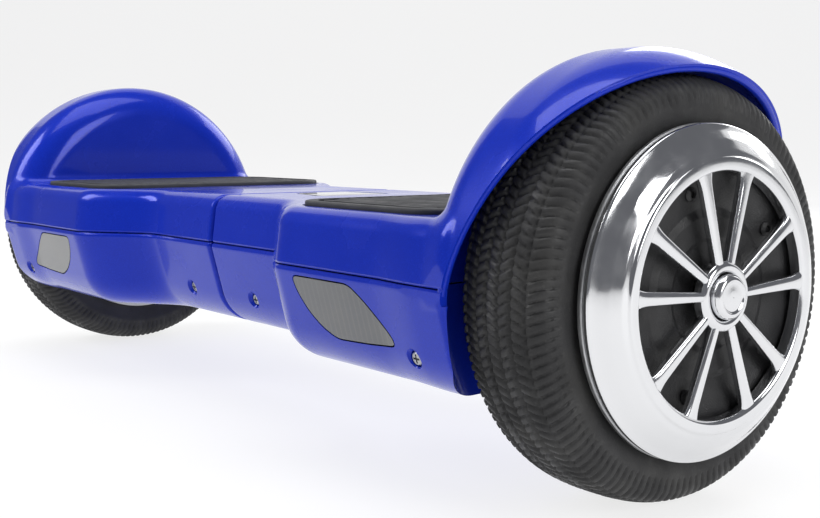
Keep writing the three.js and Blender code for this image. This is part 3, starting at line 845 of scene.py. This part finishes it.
# ---------- wheels ----------
def tyre_section(count):
    """Outer profile of the tyre as (x from its middle, radius), evenly spaced."""
    a = np.linspace(0, math.pi, 4000)
    c = np.cos(a)
    x = -TYRE_HALF * np.sign(c) * np.abs(c) ** 0.62
    r = TYRE_SHOULDER + (AXLE_Z - TYRE_SHOULDER) * np.sin(a).clip(0) ** 0.7
    x = np.concatenate([[-21], x, [21]])
    r = np.concatenate([[BEAD_R], r, [BEAD_R]])
    run = np.concatenate([[0], np.cumsum(np.hypot(np.diff(x), np.diff(r)))])
    even = np.linspace(0, run[-1], count)
    return np.interp(even, run, x), np.interp(even, run, r)


def notch(distance, half):
    """From 1 in the middle of a groove to 0 at its edges."""
    return np.clip(1.6 * (1 - np.abs(distance) / half), 0, 1)


RIB_LINES = (-15.5, -9.3, -3.1, 3.1, 9.3, 15.5)
SIPES = 132


def make_tyre(side):
    around, across = 1056, 92
    x, r = tyre_section(across)
    turn = np.linspace(0, 2 * math.pi, around, endpoint=False)[:, None]
    x, r = x[None, :], r[None, :]
    crown = smooth((r - 73.5) / 3.0)
    grooves = sum(notch(x - line, 0.95) for line in RIB_LINES)
    rib = np.searchsorted(RIB_LINES, x[0])[None, :]
    lean = np.where(rib % 2 == 0, 1.0, -1.0)
    pitch = 2 * math.pi / SIPES
    phase = turn + lean * (x / AXLE_Z) * 0.45 + rib * pitch * 0.5
    sipe = notch((phase / pitch % 1 - 0.5) * pitch * AXLE_Z, 0.95)
    sidewall_ring = notch(r - 66.8, 1.0) * (np.abs(x) > 20)
    shoulder_bar = sipe * smooth((r - 71.5) / 1.5) * (1 - smooth((r - 76) / 2))
    depth = crown * np.maximum(np.clip(grooves, 0, 1) * 1.3, sipe)
    depth = depth + shoulder_bar * 0.7 - sidewall_ring * 0.35
    radius = r - depth * smooth((r - 65) / 4)
    width = x - np.sign(x) * np.maximum(shoulder_bar * 0.5, 0) * (np.abs(x) > 18)
    along = np.broadcast_to(TYRE_X + width, radius.shape)
    points = np.stack([along, radius * np.cos(turn), AXLE_Z + radius * np.sin(turn)], 2)
    index = np.arange(around * across).reshape(around, across)
    ahead = np.roll(index, -1, 0)
    outer = np.stack([index[:, :-1], ahead[:, :-1], ahead[:, 1:], index[:, 1:]], 2).reshape(-1, 4)
    bead = np.stack([index[:, -1], ahead[:, -1], ahead[:, 0], index[:, 0]], 1)
    faces = np.concatenate([outer, bead])[:, ::-1]
    tyre = mesh_object(f"look_{side}_tyre", points.reshape(-1, 3), faces, side)
    finished(tyre, f"{side}_wheel", "tyre", [f"{side}_tyre"], 50)


def wheel_part(name, side, profile, slot, replaced, round_off=0.5, segments=192, material=None):
    shape = moved(turned(softened(profile, round_off, 3), segments), wheel_frame())
    part = mesh_object(f"look_{side}_{name}", *shape, side)
    if material:
        part.data.materials.append(material)
    return finished(part, f"{side}_wheel", slot, [f"{side}_{node}" for node in replaced])


def spoke(turn):
    """One tapered, crowned spoke that flares into the cap's face ring."""
    points, faces, around = [], [], 20
    reach = np.linspace(9.5, 49.5, 26)
    for v in reach:
        t = (v - 10) / 38.5
        half = 1.9 + 1.15 * t + 1.8 * max(0.0, (t - 0.8) / 0.2) ** 2.2
        low, high = 32.9, 36.7 + 0.5 * (1 - t)
        for k in range(around):
            a = 2 * math.pi * k / around
            c, s = math.cos(a), math.sin(a)
            u = half * math.copysign(abs(c) ** 0.55, c)
            h = (low + high) / 2 + (high - low) / 2 * math.copysign(abs(s) ** 0.75, s)
            points.append(Vector((h, u, v)))
    for i in range(len(reach) - 1):
        for k in range(around):
            m = (k + 1) % around
            faces.append([i * around + k, i * around + m, (i + 1) * around + m, (i + 1) * around + k])
    faces.append(list(range(around))[::-1])
    faces.append([(len(reach) - 1) * around + k for k in range(around)])
    spin = Matrix.Translation((TYRE_X, 0, AXLE_Z)) @ Matrix.Rotation(math.radians(-turn), 4, "X")
    return [tuple(spin @ p) for p in points], faces


BAND = (
    (LIP_R - 0.2, 26.2), (LIP_R, 28.6), (LIP_R - 1.4, 29.4), (LIP_R - 2.6, 30.2), (LIP_R - 6, 33.2),
    (LIP_R - 10, 35.8), (CAP_FACE_R + 2.2, 36.4), (CAP_FACE_R + 1.6, 37.3), (CAP_FACE_R - 2.2, 37.3),
    (CAP_FACE_R - 3.4, 36.2), (CAP_FACE_R - 3.4, 31.4), (LIP_R - 9, 31.2), (LIP_R - 7, 26.2),
)
HUB_RING = ((9, 32.6), (9, 36.9), (10, 37.7), (12, 37.7), (13.4, 36.4), (13.4, 32.6))
BACK_PLATE = (
    (9, 26.1), (9, 28.6), (20, 28.6), (22, 29.6), (30, 29.6), (33, 28.4), (50, 30.4), (54, 30.6), (54, 26.1),
)
CENTRE_CAP = (
    (0.05, 31), (8.6, 31), (8.6, 39), (7.6, 40.4), (6.2, 40.7), (5.6, 40.1), (3.2, 40.3), (0.05, 40.6),
)
RIM = (
    (16.8, 9), (16.8, 19), (50, 19), (55, 25), (LIP_R - 0.6, 26.0), (LIP_R, 25.6), (LIP_R, 23.8),
    (BEAD_R - 0.3, 21.6), (BEAD_R - 0.3, -21), (55, -21), (55, 16), (22, 16), (22, 9),
)
MOTOR_COVER = (
    (16.8, -26), (16.8, -15), (22, -15), (22, -21.4), (60, -21.4), (60, -23.4), (58, -24.2), (44, -24.6),
    (42, -25.4), (30, -26),
)


def make_wheel(side):
    make_tyre(side)
    wheel_part("rim", side, RIM, "alloy", ["rim"], 0.4)
    cover = wheel_part("motor_cover", side, MOTOR_COVER, "alloy", ["motor_cover"], 0.4)
    bolt_ring(cover, side, 50.0, -24.0, -25.6, 6)
    plate = wheel_part("hub_back_plate", side, BACK_PLATE, "black_plastic", ["hub_back_plate"], 0.4)
    bolt_ring(plate, side, 40.0, 29.0, 31.2, 5)
    wheel_part("hub_centre_cap", side, CENTRE_CAP, "chrome", ["hub_centre_cap"], 0.5, 128)
    band = moved(turned(softened(BAND, 0.7, 3), 224), wheel_frame())
    cap = mesh_object(f"look_{side}_hub_cap", *band, side)
    ring = tool("hub_ring", moved(turned(softened(HUB_RING, 0.6, 3), 128), wheel_frame()), side)
    arms = []
    for i in range(2 * SPOKE_PAIRS):
        turn = i // 2 * 360 / SPOKE_PAIRS + (SPOKE_SPREAD if i % 2 else -SPOKE_SPREAD)
        arms.append(tool("spoke", spoke(turn), side))
    combine(ring, arms, "UNION")
    cap.data.materials.append(MATERIALS["chrome"])
    ring.data.materials.append(SPOKES)
    combine(cap, [ring], "UNION")
    finished(cap, f"{side}_wheel", "chrome", [f"{side}_hub_cap"], 40)


def bolt_ring(obj, side, radius, low, high, count):
    """Adds button-head screws round the wheel axis to obj, with a round recess in each."""
    face = 1 if high > low else -1
    for i in range(count):
        a = 2 * math.pi * (i + 0.5) / count
        head = [(2.9, 0), (2.9, 0.7), (2.2, 1.5), (1.4, 1.7), (1.3, 0.9), (0.05, 0.9)]
        points, faces = turned(head, 24, closed=False)
        across, upward = radius * math.cos(a), radius * math.sin(a)
        shape = [(low + face * p[2], across + p[0], upward + p[1]) for p in points]
        shape = [(TYRE_X + x, y, AXLE_Z + z) for x, y, z in shape]
        faces = [f if face > 0 else f[::-1] for f in faces]
        bolt = tool("bolt", (shape, faces), side)
        join_mesh(obj, bolt)


def join_mesh(obj, other):
    """Adds other's mesh to obj's as a loose body of its own."""
    mine, theirs = obj.data, other.data
    offset = len(mine.vertices)
    points = [tuple(v.co) for v in mine.vertices] + [tuple(v.co) for v in theirs.vertices]
    faces = [list(p.vertices) for p in mine.polygons]
    faces += [[offset + v for v in p.vertices] for p in theirs.polygons]
    kept = list(mine.materials)
    mesh = bpy.data.meshes.new(obj.name)
    mesh.from_pydata(points, [], faces)
    for material in kept:
        mesh.materials.append(material)
    obj.data = mesh
    bpy.data.meshes.remove(mine)
    bpy.data.meshes.remove(theirs)
    shade(obj, 35)


# ---------- controls and trim ----------
def make_screw(side, number, x, z):
    """A countersunk shell screw with a cross recess, below the surface."""
    at = slope_frame(-1, x, z)
    head = [(1.5, -9), (1.5, -4.2), (2.9, -2.3), (2.9, -1.9), (2.4, -1.5), (0.05, -1.35)]
    screw = mesh_object(f"look_{side}_shell_screw_{number}", *moved(turned(head, 48, closed=False), at), side)
    for wide, deep in ((1.9, 0.42), (0.42, 1.9)):
        slot_cut = moved(box((-wide, -deep, -2.6), (wide, deep, 0)), at)
        combine(screw, [tool("cross", slot_cut, side)])
    finished(screw, f"{side}_half", "steel", [f"{side}_shell_screw_{number}"])


def make_button():
    at = slope_frame(1, BUTTON_X, CONTROL_Z)
    profile = [
        (9, -13), (9, -11.5), (BUTTON_R, -11.5), (BUTTON_R, 0.9), (BUTTON_R - 0.7, 1.5), (5.2, 1.5),
        (4.9, 1.1), (4.3, 1.1), (4.0, 1.45), (2.5, 1.2), (0.05, 1.05),
    ]
    button = mesh_object("look_power_button", *moved(turned(softened(profile, 0.3, 3, False), 96, False), at))
    finished(button, "switch_button", "black_plastic", ["power_button"])


def make_socket():
    at = slope_frame(1, SOCKET_X, CONTROL_Z)
    profile = [
        (0.05, -16), (SOCKET_R, -16), (SOCKET_R, -14), (SOCKET_R + 3, -14), (SOCKET_R + 3, -11.6),
        (SOCKET_R, -11.6), (SOCKET_R, -0.5), (SOCKET_R - 0.6, -0.3), (SOCKET_BORE + 0.6, -0.3),
        (SOCKET_BORE, -0.9), (SOCKET_BORE, -11), (0.05, -11),
    ]
    points, faces = turned(softened(profile, 0.25, 2, False), 96, closed=False)
    socket = mesh_object("look_charge_socket", *moved((points, faces), at))
    for i in range(3):
        a = math.pi / 2 + 2 * math.pi * i / 3
        pin = turned([(0.9, -11.5), (0.9, -5.2), (0.45, -4.6), (0.05, -4.5)], 20, closed=False)
        shift = Matrix.Translation((3.1 * math.cos(a), 3.1 * math.sin(a), 0))
        join_mesh(socket, tool("pin", moved(pin, at @ shift), "right"))
    finished(socket, "right_half", "black_plastic", ["charge_socket"])


def make_lid():
    """Rubber lid: a domed disc, the plug under it, and the tongue to its hinge line."""
    at = slope_frame(1, SOCKET_X, CONTROL_Z)
    wide = SOCKET_R + 3
    disc = [
        (0.05, 2.2), (wide - 4, 2.15), (wide - 3.4, 1.8), (wide - 2.8, 2.0), (wide - 1.2, 1.9), (wide, 1.0),
        (wide, 0.35), (5.0, 0.35), (5.0, -1.6), (4.6, -2.0), (0.05, -2.0),
    ]
    lid = mesh_object("look_charge_port_lid", *moved(turned(softened(disc, 0.3, 3, False), 96, False), at))
    tongue = box((-4.5, -16, 0.5), (4.5, -10, 2.2))
    tongue = bevelled(tool("tongue", moved(tongue, at), "right"), 0.6, 3)
    combine(lid, [tongue], "UNION")
    finished(lid, "socket_lid", "pad_rubber", ["charge_port_lid"])


def make_window():
    pane = mesh_object(
        "look_indicator_window", *prism(softened(window_outline(), 2.8, 6), DECK_Z - 2.6, DECK_Z)
    )
    pane = bevelled(pane, 0.5, 3)
    finished(pane, "right_half", "window", ["indicator_window"])


raw = raw_shell()
for half in ("right", "left"):
    make_shells(half, raw)
    make_pad(half)
    make_wheel(half)
    for number, (screw_x, screw_z) in enumerate(SCREWS, 1):
        make_screw(half, number, screw_x, screw_z)
make_button()
make_socket()
make_lid()
make_window()

# Pieces inside keep their CAD shape and get their slot's material.
for part in frame["record"]["subparts"]:
    node = frame["nodes"][part["node"]]
    node.data.materials.clear()
    node.data.materials.append(MATERIALS[part["material_slot"]])

# ---------- studio ----------
def plain_material(name, colour, rough):
    s = Surface(name, colour, rough)
    s.vary_rough(s.noise(3, 3), rough - 0.05, rough + 0.05)
    s.bump(s.noise(40, 3), 0.02, 0.001)
    return s.material


# The paper is short to the front left, so the shells' fronts mirror little of it.
FLOOR_FRONT, FLOOR_SIDES = 12.0, (-2.6, 12.0)
floor_points = []
floor_faces = []
sweep = [(-FLOOR_FRONT, 0.0), (2.2, 0.0)]
sweep += [(2.2 + 1.2 * math.sin(a), 1.2 - 1.2 * math.cos(a)) for a in np.linspace(0.1, math.pi / 2, 16)]
sweep += [(3.4, 5.0)]
for run, height in sweep:
    floor_points += [(-run * 1000, side * 1000, height * 1000) for side in FLOOR_SIDES]
for i in range(len(sweep) - 1):
    floor_faces.append([2 * i, 2 * i + 1, 2 * i + 3, 2 * i + 2])
backdrop = mesh_object("backdrop", floor_points, floor_faces)
backdrop.rotation_euler.z = math.radians(-37)
shade(backdrop, 60)
paper = plain_material("studio_paper", (0.2, 0.2, 0.202), 0.8)
paper.node_tree.nodes["Principled BSDF"].inputs["Emission Color"].default_value = (1, 1, 1, 1)
paper.node_tree.nodes["Principled BSDF"].inputs["Emission Strength"].default_value = 0.78
backdrop.data.materials.append(paper)


def softbox(name, place, size, power, target=(0, 0, 0.09), colour=(1, 1, 1)):
    light = bpy.data.lights.new(name, "AREA")
    light.shape = "RECTANGLE"
    light.size, light.size_y = size
    light.energy = power
    light.color = colour
    obj = bpy.data.objects.new(name, light)
    obj.location = place
    obj.rotation_euler = (Vector(target) - Vector(place)).to_track_quat("-Z", "Y").to_euler()
    bpy.context.scene.collection.objects.link(obj)


softbox("overhead", (0.1, -0.1, 1.7), (1.6, 1.0), 17)
softbox("key", (-0.9, -1.3, 1.2), (0.7, 0.9), 16)
softbox("side", (1.7, 0.2, 0.8), (0.7, 0.9), 12)
softbox("back", (-0.4, 1.6, 0.9), (1.4, 0.6), 10)

world = bpy.data.worlds.new("studio")
world.use_nodes = True
world.node_tree.nodes["Background"].inputs["Color"].default_value = (0.9, 0.92, 1.0, 1)
world.node_tree.nodes["Background"].inputs["Strength"].default_value = 0.16
bpy.context.scene.world = world
bpy.context.scene.view_settings.view_transform = "Standard"

# ---------- camera ----------
FRAME_WIDTH, FRAME_HEIGHT = 820, 518
CAMERA_AT = Vector((0.56909, -0.36324, 0.14239))
YAW, PITCH = math.radians(53.28), math.radians(6.20)
FOCAL, CENTRE_X, CENTRE_Y = 1206.13, 399.93, 269.82
SENSOR = 36.0

forward = Vector((-math.sin(YAW) * math.cos(PITCH), math.cos(YAW) * math.cos(PITCH), -math.sin(PITCH)))
across = Vector((math.cos(YAW), math.sin(YAW), 0))
upward = across.cross(forward)
lens = bpy.data.cameras.new("camera")
lens.sensor_width = SENSOR
lens.lens = SENSOR * FOCAL / FRAME_WIDTH
lens.shift_x = (FRAME_WIDTH / 2 - CENTRE_X) / FRAME_WIDTH
lens.shift_y = (CENTRE_Y - FRAME_HEIGHT / 2) / FRAME_WIDTH
camera = bpy.data.objects.new("camera", lens)
turned_to = Matrix((across, upward, -forward)).transposed()
camera.matrix_world = Matrix.Translation(CAMERA_AT) @ turned_to.to_4x4()
bpy.context.scene.collection.objects.link(camera)
bpy.context.scene.camera = camera
